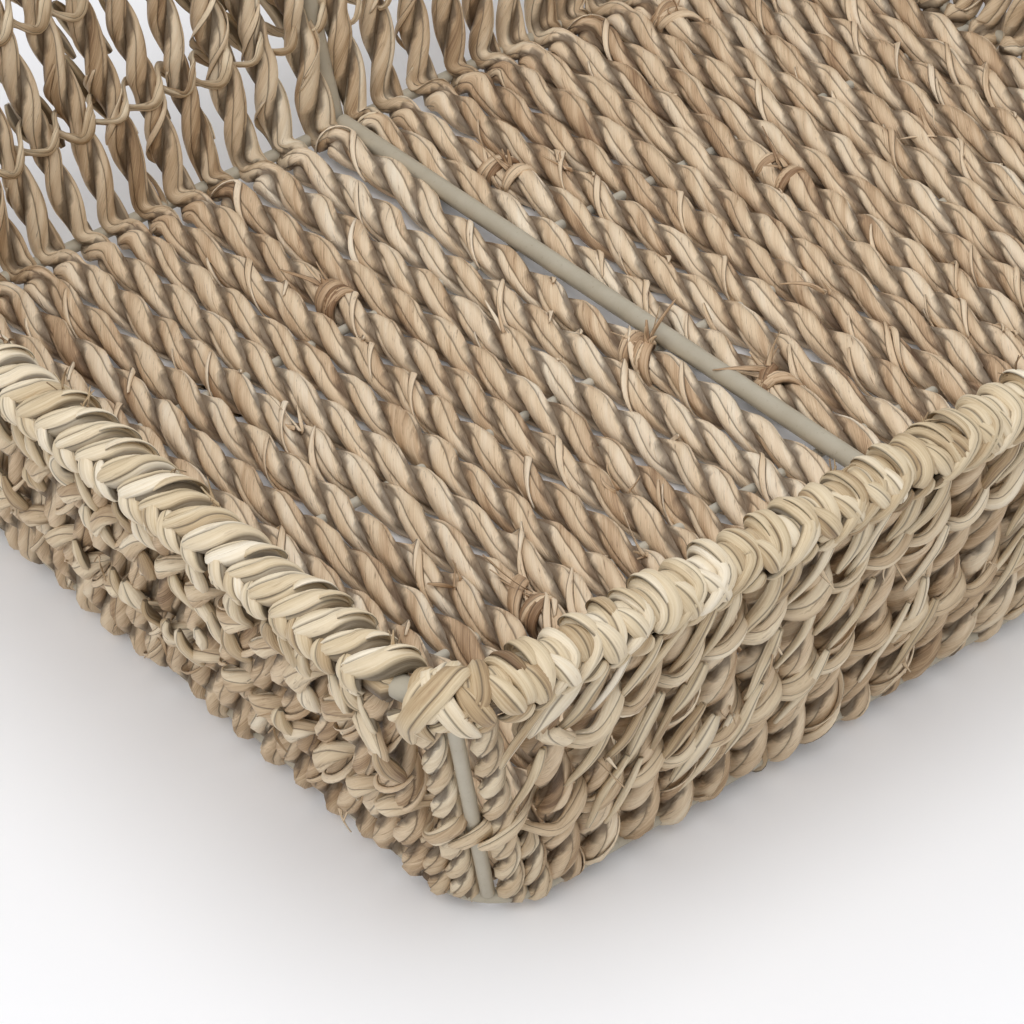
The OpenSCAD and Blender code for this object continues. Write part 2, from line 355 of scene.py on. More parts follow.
def ribbon(store, line, out, side, width, thick, arch, rng, tone):
    """One flat blade: a thin lens section, arched across and creased along."""
    s = lengths(line)
    n = len(s)
    width, thick, arch = (np.broadcast_to(a, n)[:, None] for a in (width, thick, arch))
    crease = 0.14 * drift(rng, s, 14)[:, None]
    x = RIBBON_AT[None] + crease * (1 - RIBBON_AT[None] ** 2)
    h = RIBBON_LIFT[None] * thick + arch * (1 - x ** 2)
    x = x * width / 2
    points = line[:, None] + out[:, None] * h[..., None] + side[:, None] * x[..., None]
    tones = tone + 0.12 * rng.uniform(-1, 1) + 0.08 * drift(rng, s, 14)
    # The second channel is painted crease shade: the blade darkens towards its edges
    shade = np.stack([np.repeat(tones[:, None], len(RIBBON_AT), 1),
                      np.broadcast_to((1 - np.abs(RIBBON_AT) ** 2.5)[None], x.shape),
                      np.full(x.shape, rng.uniform())], -1)
    wide = float(width.mean())
    around = np.cumsum([0, 0.2, 0.26, 0.3, 0.25, 0.25, 0.25, 0.25]) * wide
    u = np.broadcast_to(around, x.shape) + rng.uniform(0, 500)
    store.add(points, u, 0.24 * wide, s + rng.uniform(0, 5000), shade)


def two_ply(stores, line, side_hint, diameter, lay, rng, tone, ends, swell=1.0, blades=5, loose=0.0,
            flat=0.33, ply_at=0.165):
    """Two plies twisted to a cord round a line. lay is the length of a turn, and loose the number of
    blades that stand loose on 100 mm of a ply. flat is half the width of a ply and ply_at how far out
    its middle is, as shares of the cord's diameter."""
    s = lengths(line)
    side, out = axes_by_side(line, side_hint)
    rate = 1 + 0.12 * drift(rng, s, 35)
    turn = np.cumsum(np.gradient(s) * rate) * TAU / lay
    turn += rng.uniform(0, TAU)
    for ply in (0, 1):
        o, w = rolled(out, side, turn + math.pi * ply + 0.15 * drift(rng, s, 16))
        size = diameter * swell * (1 + 0.06 * drift(rng, s, 11))
        wide = flat * size * (1 + 0.14 * drift(rng, s, 13))
        strand(stores, line + o * (ply_at * size)[:, None], o, w, (0.5 - ply_at) * size, wide, blades,
               rng, tone + 0.08 * rng.uniform(-1, 1), ends, spin=-0.8 * turn)
        for _ in range(rng.poisson(loose * s[-1] / 100)):
            long = int(rng.uniform(12, 26) / (s[-1] / len(s)))
            if long + 2 >= len(s):
                continue
            a = rng.integers(0, len(s) - long)
            part = slice(a, a + long)
            f = np.linspace(0, 1, long)
            bow = np.sin(math.pi * f)
            across = rng.uniform(-0.28, 0.28) * diameter
            lift = 0.49 + 0.035 * bow
            middle = line[part] + o[part] * (lift * size[part])[:, None] + w[part] * across
            twist = rng.uniform(-0.5, 0.5) * (1 - bow) + rng.uniform(-0.25, 0.25)
            oo, ww = rolled(o[part], w[part], twist)
            ribbon(pick(stores, a, a + long), middle, oo, ww, 2.4 * (TIP + (1 - TIP) * bow), 0.35, 0.35,
                   rng, tone + 0.12)


def fray(store, root, way, rng, count, long, width, tone, spread):
    """Thin blade ends that stand out from a place. spread is how far they stray from way."""
    f = np.linspace(0, 1, 9)[:, None]
    for _ in range(count):
        go = unit(way + rng.normal(0, spread, 3))
        size = long * rng.uniform(0.5, 1.2)
        line = root + rng.normal(0, 0.5, 3) + go * size * f + rng.normal(0, 0.3, 3) * size * f ** 2
        out, side = axes(line, rng.normal(0, 1, 3))
        out, side = rolled(out, side, rng.uniform(-2, 2) * f[:, 0])
        ribbon(store, line, out, side, width * rng.uniform(0.6, 1.3) * (1 - 0.75 * f[:, 0]), 0.22, 0.08,
               rng, tone + rng.uniform(-0.12, 0.12))


def knot(store, line, at, rng, radius, tone):
    """A splice: a few short turns of brown blade round a cord, with loose ends."""
    tangent = unit(line[at + 2] - line[at - 2])
    side = unit(np.cross(tangent, UP))
    out = np.cross(side, tangent)
    rings = 14
    wide = 1.7 * leaf_shape(0.1 + 0.8 * np.linspace(0, 1, rings))
    for _ in range(3):
        a = np.linspace(-1.9, 1.9, rings) + rng.uniform(-0.5, 0.5)
        along = rng.uniform(-4.5, 4.5) + np.linspace(-1.0, 1.0, rings) * rng.uniform(-5, 5)
        n = out * np.cos(a)[:, None] + side * np.sin(a)[:, None]
        turn = line[at] + n * (radius + 0.5) + tangent * along[:, None]
        strand(whole(store), turn, *axes(turn, n), 0.9, wide, 3, rng, tone + rng.uniform(-0.1, 0.25),
               (0, 0), inner=1.0)
    fray(store, line[at] + out * radius, out * 0.5 + tangent * 0.8, rng, 7, 7.0, 1.5, tone + 0.1, 0.6)


def pick(stores, a, b):
    """The store that holds most of the rings from a to b."""
    middle = (a + b) // 2
    for store, first, last in stores:
        if first <= middle and (last is None or middle <= last):
            return store
    return stores[0][0]


# ---- Materials ----

def srgb(r, g, b):
    """A colour as it looks on screen, 0 to 255, as linear values."""
    return [((c / 255 + 0.055) / 1.055) ** 2.4 if c > 10 else c / 255 / 12.92 for c in (r, g, b)] + [1.0]


class Nodes:
    """Short calls that add shader nodes and link them."""

    def __init__(self, name):
        self.material = bpy.data.materials.new(name)
        self.material.use_nodes = True
        self.tree = self.material.node_tree
        self.shader = self.tree.nodes["Principled BSDF"]

    def node(self, kind, inputs=None, **fields):
        node = self.tree.nodes.new(kind)
        for key, value in fields.items():
            setattr(node, key, value)
        self.fill(node, inputs or {})
        return node

    def fill(self, node, inputs):
        """Sets a node's inputs, each to a value or to another node's output."""
        for key, value in inputs.items():
            if isinstance(value, bpy.types.NodeSocket):
                self.tree.links.new(value, node.inputs[key])
            else:
                node.inputs[key].default_value = value

    def math(self, operation, a, b=0.0, clamp=False):
        return self.node("ShaderNodeMath", {0: a, 1: b}, operation=operation, use_clamp=clamp).outputs[0]

    def noise(self, vector, scale, detail=3.0, roughness=0.55):
        """Noise with a scale of its own along each axis."""
        place = self.node("ShaderNodeMapping", {"Vector": vector, "Scale": scale}).outputs[0]
        return self.node("ShaderNodeTexNoise", {"Vector": place, "Scale": 1.0, "Detail": detail,
                                                "Roughness": roughness}).outputs["Fac"]

    def ramp(self, value, colours):
        """A colour ramp with evenly spaced stops."""
        node = self.node("ShaderNodeValToRGB", {"Fac": value})
        elements = node.color_ramp.elements
        while len(elements) < len(colours):
            elements.new(0.5)
        for k, (element, colour) in enumerate(zip(elements, colours)):
            element.position = k / (len(colours) - 1)
            element.color = colour
        return node.outputs["Color"]

    def mix(self, fac, a, b, blend="MIX"):
        node = self.node("ShaderNodeMix", data_type="RGBA", blend_type=blend)
        self.fill(node, {0: fac, 6: a, 7: b})
        return node.outputs[2]


FLECK_COLOUR = (118, 84, 56)
SCUFF_COLOUR = (138, 122, 100)


def seagrass(name, colours, crease, speck, rough=0.62):
    """Dried seagrass: long fine veins, a tone of its own for each blade and brown flecks, darkened in the
    creases by painted shade with some dirt.
    The mesh's attribute grass holds each point's tone and how far it is from a crease; that value is
    lowered by painted shade where the surface turns away from out."""
    n = Nodes(name)
    grass = n.node("ShaderNodeAttribute", attribute_type="GEOMETRY",
                   attribute_name="grass").outputs["Color"]
    split = n.node("ShaderNodeSeparateColor", {"Color": grass}).outputs
    tone, edge = split[0], split[1]
    uv = n.node("ShaderNodeUVMap", uv_map="grain").outputs[0]
    veins = n.noise(uv, (38, 0.9, 1), roughness=0.6)
    bands = n.noise(uv, (3.2, 0.35, 1), roughness=0.5)
    flecks = n.noise(uv, (16, 1.7, 1), 4.0, 0.7)
    value = n.math("ADD", tone, n.math("MULTIPLY", n.math("SUBTRACT", bands, 0.5), 0.85))
    value = n.math("ADD", value, n.math("MULTIPLY", n.math("SUBTRACT", veins, 0.5), 0.6))
    colour = n.ramp(value, [srgb(*c) for c in colours])
    brown = n.math("MULTIPLY", n.math("SUBTRACT", flecks, 0.58, clamp=True), 7.0, clamp=True)
    colour = n.mix(n.math("MULTIPLY", brown, speck), colour, srgb(*FLECK_COLOUR))
    # Painted shade, with some dirt: the colour goes towards the crease colour near creases and on the side
    # turned away from out
    crease_shade = n.math("SUBTRACT", 1.0, n.math("MULTIPLY", edge, 2.2), clamp=True)
    colour = n.mix(n.math("MULTIPLY", crease_shade, 0.74), colour, srgb(*crease))
    dull = n.math("ADD", n.math("MULTIPLY", veins, 0.3), rough - 0.15)
    fine = n.math("ADD", veins, n.math("MULTIPLY", flecks, 0.4))
    bump = n.node("ShaderNodeBump", {"Height": fine, "Strength": 0.7, "Distance": 0.0003}).outputs[0]
    n.fill(n.shader, {"Base Color": colour, "Roughness": dull, "Specular IOR Level": 0.38, "Normal": bump})
    return n.material


def coated_wire(name, light, dark):
    """Pale coated wire, a little dull and scuffed."""
    n = Nodes(name)
    place = n.node("ShaderNodeTexCoord").outputs["Object"]
    cloud = n.noise(place, (160, 160, 160))
    scuff = n.noise(place, (1400, 1400, 500), 4.0, 0.7)
    colour = n.mix(cloud, srgb(*light), srgb(*dark))
    worn = n.math("MULTIPLY", n.math("SUBTRACT", scuff, 0.6, clamp=True), 3.0, clamp=True)
    colour = n.mix(worn, colour, srgb(*SCUFF_COLOUR))
    dull = n.math("ADD", n.math("MULTIPLY", scuff, 0.2), 0.38)
    bump = n.node("ShaderNodeBump", {"Height": scuff, "Strength": 0.2, "Distance": 0.0001}).outputs[0]
    n.fill(n.shader, {"Base Color": colour, "Roughness": dull, "Specular IOR Level": 0.45, "Normal": bump})
    return n.material


# From the darkest tone to the palest
# BASE_COLOURS is a paler copy of WALL_COLOURS for the same cords where they lie flat on the base: the extra
# paleness is painted light on the upward face
BASE_COLOURS = ((138, 106, 77), (199, 168, 134), (229, 204, 171), (240, 220, 192), (247, 233, 210))
WALL_COLOURS = ((120, 92, 64), (178, 149, 115), (213, 188, 155), (229, 209, 179), (240, 226, 201))
TWINE_COLOURS = ((108, 82, 56), (166, 138, 106), (204, 180, 147), (223, 204, 173), (238, 223, 197))
RIM_COLOURS = ((116, 88, 60), (178, 152, 116), (212, 192, 158), (231, 215, 187), (243, 232, 212))
# The colour after each palette is its crease colour, towards which painted shade (with some dirt) darkens
# it
BASE = seagrass("seagrass base", BASE_COLOURS, (72, 52, 36), 0.85)
WALL = seagrass("seagrass wall", WALL_COLOURS, (66, 50, 34), 0.7)
TWINE = seagrass("seagrass twine", TWINE_COLOURS, (62, 46, 32), 0.65)
RIM = seagrass("seagrass rim", RIM_COLOURS, (58, 44, 28), 0.4, rough=0.5)
WIRE = coated_wire("coated wire", (190, 182, 164), (168, 158, 138))
CROSS_WIRE = coated_wire("coated cross wire", (206, 200, 186), (184, 176, 158))


# ---- Camera, light and floor ----

CAMERA_AT = (-485.5, -560.0, 532.0)
CAMERA_TURN = math.radians(38.37)
CAMERA_DOWN = math.radians(37.71)
CAMERA_ROLL = math.radians(-1.79)
CAMERA_LENS = 149.4
CAMERA_SENSOR = 36.0


def make_camera():
    """The photo's view: turned from the basket's width, tilted down and rolled a little."""
    a, e, r = CAMERA_TURN, CAMERA_DOWN, CAMERA_ROLL
    forward = Vector((math.sin(a) * math.cos(e), math.cos(a) * math.cos(e), -math.sin(e)))
    right = Vector((math.cos(a), -math.sin(a), 0))
    up = right.cross(forward)
    right, up = right * math.cos(r) + up * math.sin(r), up * math.cos(r) - right * math.sin(r)
    data = bpy.data.cameras.new("camera")
    data.lens, data.sensor_width, data.sensor_fit = CAMERA_LENS, CAMERA_SENSOR, "HORIZONTAL"
    data.clip_start, data.clip_end = 0.05, 20.0
    camera = add_object("camera", data)
    turn = Matrix((right, up, -forward)).transposed().to_4x4()
    camera.matrix_world = Matrix.Translation(Vector(CAMERA_AT) * MM) @ turn
    bpy.context.scene.camera = camera


SKY_LIGHT = 0.7
SKY_COLOUR = (0.975, 0.985, 1.0, 1)
LAMP_COLOUR = (0.995, 0.995, 1.0)
# Name, place and size in metres, power
LAMPS = (("key", (-0.3, -0.42, 1.35), 1.3, 8.3), ("fill", (-1.1, -0.1, 0.8), 0.8, 2.5))


def make_light():
    bpy.context.scene.view_settings.view_transform = "Standard"
    world = bpy.data.worlds.new("studio")
    bpy.context.scene.world = world
    world.use_nodes = True
    sky = world.node_tree.nodes["Background"]
    sky.inputs["Color"].default_value = SKY_COLOUR
    sky.inputs["Strength"].default_value = SKY_LIGHT
    for name, place, size, power in LAMPS:
        lamp = bpy.data.lights.new(name, "AREA")
        lamp.shape, lamp.size, lamp.energy = "DISK", size, power
        lamp.color = LAMP_COLOUR
        holder = add_object(name, lamp)
        holder.location = place
        holder.rotation_euler = (-Vector(place)).to_track_quat("-Z", "Y").to_euler()


FLOOR_HALF = 3.0  # metres
FLOOR_COLOURS = ((238, 238, 240), (241, 241, 243))
# Seen by the camera or in a reflection the floor is a little paler; it sends no more light to the basket
FLOOR_LIFT = 0.07
FLOOR_LIFT_COLOUR = (0.97, 0.985, 1.0, 1)


def make_floor():
    n = Nodes("floor paper")
    place = n.node("ShaderNodeTexCoord").outputs["Object"]
    cloud = n.noise(place, (3, 3, 3), 2.0)
    colour = n.mix(cloud, *(srgb(*c) for c in FLOOR_COLOURS))
    ray = n.node("ShaderNodeLightPath").outputs
    seen = n.math("MAXIMUM", ray["Is Camera Ray"], ray["Is Glossy Ray"])
    seen = n.math("MAXIMUM", seen, ray["Is Transmission Ray"])
    lift = n.math("MULTIPLY", seen, FLOOR_LIFT)
    n.fill(n.shader, {"Base Color": colour, "Roughness": 0.9, "Emission Color": FLOOR_LIFT_COLOUR,
                      "Emission Strength": lift})
    mesh = bpy.data.meshes.new("floor")
    h = FLOOR_HALF
    mesh.from_pydata([(-h, -h, 0), (h, -h, 0), (h, h, 0), (-h, h, 0)], [], [(0, 1, 2, 3)])
    mesh.materials.append(n.material)
    floor = add_object("floor", mesh)


# ---- Frame: the CAD wires stay and get their coat ----

WIRES = ("rim_rod", "foot_ring", "base_bar", "corner_post", "upright", "cross_wire")


def coat_frame():
    for name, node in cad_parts.items():
        if name.startswith(WIRES):
            node.data.materials.clear()
            node.data.materials.append(CROSS_WIRE if name.startswith("cross_wire") else WIRE)
            for polygon in node.data.polygons:
                polygon.material_index = 0


# ---- Base and walls ----

# Height, reach and depth of the squeeze of each twined row
PINCHES = ((LOWER_TWINE_Z, 3.2, 0.22), (UPPER_TWINE_Z, 3.0, 0.2))


def pinched(line):
    """How the twined rows squeeze a wall cord."""
    swell = np.ones(len(line))
    for z, reach, depth in PINCHES:
        swell -= depth * np.exp(-((line[:, 2] - z) / reach) ** 2)
    return swell


def wander(line, axis, rng, amount):
    """Moves a line a little to and fro, but not its ends."""
    s = lengths(line)
    fade = smooth(s / 12) * smooth((s[-1] - s) / 12)
    return line + np.array(axis, float) * (amount * drift(rng, s, 30) * fade)[:, None]


# Splices in the base: cord, counted from the bar, and where along it
KNOTS = ((2, 70), (-1, -3), (1, -27), (-9, -51), (7, 30), (12, -60), (-5, 60), (-13, 20), (10, 95))
# How close the first, second and third cord from the bar crowd it; the others don't
CROWDING = (0.0, 1.35, 0.85, 0.4)


def long_cords():
    """Each cord comes down the front wall, runs under the base and climbs the back wall."""
    front, back = Store(), Store()
    bases = [Store() for _ in range(BASE_PIECES)]
    rim_share = RIM_RUN_L / FOOT_RUN_L
    for i in range(-BASE_COUNT, BASE_COUNT + 1):
        if i == 0:
            continue
        rng = np.random.default_rng(LONG_SEED + i)
        x = i * CORD_PITCH
        base = bases[min(int((i + BASE_COUNT) / CORDS_PER_PIECE), BASE_PIECES - 1)]
        tone = 0.52 + rng.uniform(-0.1, 0.1)
        size = CORD_D * rng.uniform(0.97, 1.03)
        if abs(i) > SIDE_COUNT:
            reach = FOOT_RUN_W + FOOT_CORNER_R * math.cos(math.radians(45)) - CORD_D / 2
            line = resampled([np.array([(x, -reach, CORD_Z), (x, reach, CORD_Z)], float)], STEP)[0]
            line = wander(line, (1, 0, 0), rng, 0.4)
            two_ply(whole(base), line, (1, 0, 0), size, BASE_LAY, rng, tone, (5, 5), blades=4)
            continue
        corners = []
        for face in (-1, 1):
            low = np.array([x, face * FOOT_W, CORD_Z])
            high = np.array([x * rim_share, face * RIM_W, RIM_Z])
            high = high - unit(high - low) * TOP_GAP
            corners += [high, low] if face < 0 else [low, high]
        line = rounded(corners, (5.5, 5.5), STEP)
        line = wander(line, (1, 0, 0), rng, 0.6)
        low = np.nonzero(np.abs(line[:, 1]) < FOOT_W - 5)[0]
        a, b = low[0], low[-1]
        on_base = smooth((FOOT_W + 2 - np.abs(line[:, 1])) / 12)
        on_back = (1 - on_base) * (line[:, 1] > 0)
        flat = 0.33 + 0.01 * on_base
        lay = WALL_LAY + (BASE_LAY - WALL_LAY) * on_base + 6 * on_back
        near = CROWDING[abs(i) if abs(i) < len(CROWDING) else 0]
        swell = pinched(line) * (1 - (0.15 - 0.12 * near) * on_back - 0.05 * on_base)
        far = smooth((line[:, 1] - 66) / 16)
        line[:, 0] -= np.sign(i) * near * (1.3 * on_base * (1 - far) + 2.8 * far)
        line[:, 2] += (abs(i) == 1) * 1.3 * far * on_base
        line[:, 1] -= (abs(i) == 1) * 1.2 * on_back
        two_ply([(front, 0, a), (base, a, b), (back, b, None)], line, (1, 0, 0), size, lay, rng, tone,
                (3, 3), swell=swell, loose=1.2, flat=flat, blades=4, ply_at=0.165 + 0.015 * on_back)
        for at in rng.integers(6, 60, 2):
            if rng.random() < 0.25:
                fray(front, line[at] + (0, -CORD_FACE, 0), (0.3, -0.3, -0.9), rng, 2, 5.0, 1.2, tone, 0.3)
        for cord, y in KNOTS:
            if cord == i:
                miss = np.abs(line[:, 1] - y) + np.where(line[:, 2] > 12, 99, 0)
                knot(base, line, int(np.argmin(miss)), rng, 3.2, 0.2)
        if rng.random() < 0.5:
            at = int(rng.integers(a + 10, b - 10))
            fray(base, line[at] + (0, 0, CORD_FACE), (0.0, 0.7, 0.15), rng, 3, 8.0, 1.4, tone - 0.1, 0.3)
    front.piece("front_wall_weave", WALL, "seagrass_wall", ["front_wall_cords", "foot_wrap_front"])
    back.piece("back_wall_weave", WALL, "seagrass_wall", ["back_wall_cords", "foot_wrap_back"])
    for k, base in enumerate(bases):
        base.piece(f"base_weave_{k + 1}", BASE, "seagrass_base", ["base_cords"])


def end_cords():
    """Cords of the two end walls; each hooks round the foot ring."""
    share = RIM_RUN_W / FOOT_RUN_W
    for side, name in ((-1, "left"), (1, "right")):
        store = Store()
        for j in range(-END_COUNT, END_COUNT + 1):
            rng = np.random.default_rng(END_SEED + 100 * side + j)
            y = j * CORD_PITCH
            low = np.array([side * FOOT_L, y, CORD_Z])
            high = np.array([side * RIM_L, y * share, RIM_Z])
            high = high - unit(high - low) * TOP_GAP
            hook = low - np.array([side * 5.0, 0, 0])
            line = rounded([hook, low, high], (3.6,), STEP)
            line = wander(line, (0, 1, 0), rng, 0.5)
            two_ply(whole(store), line, (0, -side, 0), CORD_D * rng.uniform(0.97, 1.03), WALL_LAY, rng,
                    0.5 + rng.uniform(-0.1, 0.1), (2, 3), swell=pinched(line), loose=1.8, flat=0.32,
                    blades=4)
            for at in rng.integers(8, 60, 2):
                if rng.random() < 0.25:
                    root = line[min(at, len(line) - 4)] + (side * CORD_FACE, 0, 0)
                    fray(store, root, (0.3 * side, 0.3, -0.9), rng, 2, 5.0, 1.2, 0.45, 0.3)
        store.piece(f"{name}_wall_weave", WALL, "seagrass_wall",
                    [f"{name}_wall_cords", f"foot_wrap_{name}"])


def corner_ends(degrees, sx, sy):
    """Where a line up a corner meets the foot ring and the rim: degrees turn from the end to the side."""
    a = math.radians(degrees)
    return [np.array([sx * (half_l - radius + radius * math.cos(a)),
                      sy * (half_w - radius + radius * math.sin(a)), z])
            for half_l, half_w, radius, z in ((FOOT_L, FOOT_W, FOOT_CORNER_R, FOOT_Z),
                                              (RIM_L, RIM_W, RIM_CORNER_R, RIM_Z))]


def outward_at(degrees, sx, sy):
    """The direction out of a corner at such a line."""
    a = math.radians(degrees)
    return np.array([sx * math.cos(a), sy * math.sin(a), 0.0])


CORNERS = ((-1, -1, "front_left"), (1, -1, "front_right"), (-1, 1, "back_left"), (1, 1, "back_right"))


def corner_cords():
    """A thin cord on each side of a corner post, and beyond it a short wrap of the foot ring."""
    for sx, sy, name in CORNERS:
        store = Store()
        outward = outward_at(45, sx, sy)
        for turn in (-1, 1):
            rng = np.random.default_rng(CORNER_SEED + 10 * sx + 20 * sy + turn)
            degrees = 45 + turn * CORNER_STEP
            low, high = corner_ends(degrees, sx, sy)
            run = unit(high - low)
            hook = low - outward_at(degrees, sx, sy) * 4.0
            line = rounded([hook, low, high - run * 3.5], (2.6,), CORNER_LINE_STEP)
            line = wander(line, np.cross(outward, UP), rng, 0.4)
            two_ply(whole(store), line, np.cross(run, -outward), CORNER_CORD_D, CORNER_LAY, rng, 0.58,
                    (1.5, 2), blades=3)
            degrees = 45 + turn * CORNER_WRAP_STEP
            low, high = corner_ends(degrees, sx, sy)
            outside = outward_at(degrees, sx, sy)
            top = low + (high - low) * 0.3 - outside * 1.5
            line = rounded([low - outside * 4.5, low, top], (3.0,), CORNER_LINE_STEP)
            two_ply(whole(store), line, np.cross(run, -outside), CORNER_WRAP_D, CORNER_LAY, rng, 0.5,
                    (1.5, 4))
        store.piece(f"corner_cords_weave_{name}", TWINE, "seagrass_twine", [f"corner_cords_{name}"])


# ---- Twined rows ----

# Half thickness, as a twined strand passes it, of a wall cord, a thin cord or upright, and a corner post
CORD_HALF, THIN_HALF, POST_HALF = 3.3, 2.3, 1.6
CORNER_STATIONS = 3
TWINE_HIGH = 0.8  # half thickness of a twined strand


def stations(z):
    """Where a row crosses the cords, clockwise from the front right corner: point, outward normal and
    half thickness."""
    long_share, end_share = RIM_RUN_L / FOOT_RUN_L, RIM_RUN_W / FOOT_RUN_W
    f = (z - FOOT_Z) / (RIM_Z - FOOT_Z)
    found = []

    def add(low, high, normal, half):
        found.append(((1 - f) * np.array(low) + f * np.array(high), np.array(normal), half))

    def corner(sx, sy, order):
        for turn in order:
            degrees = 45 + turn * CORNER_STEP
            half = THIN_HALF if turn else POST_HALF
            add(*corner_ends(degrees, sx, sy), outward_at(degrees, sx, sy), half)

    def side(face, order):
        for i in order:
            x = i * CORD_PITCH
            add((x, face * FOOT_W, FOOT_Z), (x * long_share, face * RIM_W, RIM_Z), (0.0, face, 0.0),
                CORD_HALF if i else THIN_HALF)

    def end(face, order):
        for j in order:
            y = j * CORD_PITCH
            add((face * FOOT_L, y, FOOT_Z), (face * RIM_L, y * end_share, RIM_Z), (face, 0.0, 0.0),
                CORD_HALF)

    side(-1, range(SIDE_COUNT, -SIDE_COUNT - 1, -1))
    corner(-1, -1, (1, 0, -1))
    end(-1, range(-END_COUNT, END_COUNT + 1))
    corner(-1, 1, (-1, 0, 1))
    side(1, range(-SIDE_COUNT, SIDE_COUNT + 1))
    corner(1, 1, (1, 0, -1))
    end(1, range(END_COUNT, -END_COUNT - 1, -1))
    corner(1, -1, (-1, 0, 1))
    return found


def twine(store, found, phase, rng, rise, closed, tone, wide):
    """A strand that passes outside one cord and inside the next, and rises as it does."""
    points, normals, ways = [], [], []
    count = len(found)
    for k in range(count):
        p, n, r = found[k]
        way = 1 if (k + phase) % 2 == 0 else -1
        lift = rng.uniform(-0.9, 0.9)
        climb = rise * rng.uniform(0.6, 1.35)
        stand = r + rng.uniform(0.35, 0.8)
        nxt = found[(k + 1) % count]
        last = found[k - 1]
        along = unit(nxt[0] - last[0])
        reach = 0.33 if way > 0 else 0.15
        for f in (-reach, reach):
            points.append(p + n * way * stand + along * f * CORD_PITCH
                          + np.array([0, 0, lift - f / reach * way * climb / 2]))
            normals.append(n)
            ways.append([way])
    curves = [through(a, 5, closed) for a in (points, normals, ways)]
    if closed:
        curves = [np.concatenate([a, a[:1]]) for a in curves]
    line, hint, way = resampled(curves, STEP)
    hint = unit(hint)
    full = 0.5 + 0.5 * np.clip(np.abs(way[:, 0]), 0, 1)
    s = lengths(line)
    out, side = rolled(*axes(line, hint), 0.5 * drift(rng, s, 14))
    thin = 1 - 0.3 * (hint[:, 1] > 0.7)
    strand(whole(store), line, out, side, TWINE_HIGH * thin * (1 + 0.12 * drift(rng, s, 9)),
           wide * thin * full * (1 + 0.2 * drift(rng, s, 9)), 4, rng, tone, (0.5, 0.5), inner=1.0,
           spin=s * 0.12, shadow=-1.5)


# The upper rows, in the order of the stations
WALLS = (("front", SIDE_COUNT), ("left", END_COUNT), ("back", SIDE_COUNT), ("right", END_COUNT))


def twined_rows():
    """Two strands all round low down, and two on each wall under the rim."""
    lower = stations(LOWER_TWINE_Z)
    for phase, node in ((0, "lower_twine_outer"), (1, "lower_twine_inner")):
        store = Store()
        rng = np.random.default_rng(LOWER_SEED + phase)
        twine(store, lower, phase, rng, 4.6, True, 0.58, 2.0)
        store.piece(f"lower_twine_strand_{phase + 1}", TWINE, "seagrass_twine", [node])
    upper = stations(UPPER_TWINE_Z)
    first = 0
    for name, half in WALLS:
        store = Store()
        count = 2 * half + 1
        part = upper[first:first + count]
        for phase in (0, 1):
            rng = np.random.default_rng(UPPER_SEED + first + phase)
            twine(store, part, phase, rng, 5.4, False, 0.62, 2.1)
        store.piece(f"upper_twine_strands_{name}", TWINE, "seagrass_twine", [f"upper_twine_{name}"])
        first += count + CORNER_STATIONS


# ---- Rim ----

RIM_LOOP = Loop(RIM_L, RIM_W, RIM_CORNER_R, RIM_Z)


def rim_path(t, theta, r):
    """Points on the rim: t along it, theta from the top towards the outside, r from its middle."""
    p, n = RIM_LOOP.at(t)
    out = n * np.sin(theta)[:, None] + UP * np.cos(theta)[:, None]
    return p + out * np.broadcast_to(r, len(t))[:, None], out


def rim_frame(t, degrees, r, roll):
    """A line on the rim along t and the angle from its top, with its axes turned by roll."""
    line, out = rim_path(t, np.radians(degrees), r)
    return (line, *rolled(*axes(line, out), np.broadcast_to(roll, len(line))))


def rim_bundle(store, t, degrees, r, high, wide, blades, rng, tone, roll):
    """A bundle of blades laid on the rim."""
    # shadow 0.0 paints shade over the half of each band turned away from out, darkening the gaps between
    # bands
    strand(whole(store), *rim_frame(t, degrees, r, roll), high, wide, blades, rng, tone, (0, 0), inner=0.7,
           spread=0.15, shadow=0.0)


def rim_leaf(store, start, stop, t, high, wide, blades, rng, tone, full, top, roll):
    """A pointed leaf between two bands, from start to stop in degrees: its ends are tucked in. top is how
    far it stands out of the rim."""
    f = np.linspace(0, 1, len(t))
    shape = leaf_shape(f, full)
    r = RIM_R + top - high * shape - 1.6 * (1 - shape)
    rim_bundle(store, t, start + (stop - start) * f, r, 0.12 + high * shape, 0.15 + wide * shape, blades,
               rng, tone, roll)


def rim_fibre(store, t, degrees, r, span, slant, lift, width, scale, rng, tone, roll):
    """A flat blade that lies on a bundle over a span of its rings, and dips in at both ends."""
    f = np.linspace(0, 1, len(t))[span]
    lie = np.sin(math.pi * np.linspace(0, 1, len(f))) ** 0.4
    width = (0.5 + width * lie) * scale
    line, out, side = rim_frame(t[span] + slant * f, degrees[span], r[span] - 1.1 + lift * lie, roll)
    ribbon(store, line, out, side, width, 0.4, 0.12 * width, rng, tone)


def rim_tuft(store, t0, share, way, rng, count, long, tone):
    """Now and then a few broken blade ends stand up from the rim."""
    if rng.random() < share:
        root, normal = RIM_LOOP.at(np.array([t0]))
        fray(store, root[0] + (0, 0, RIM_R) - normal[0] * 2, way, rng, count, long, 1.0, tone, 0.4)


STITCH_RINGS = 34
STITCH_START = -165  # degrees from the rim's top, on the inside


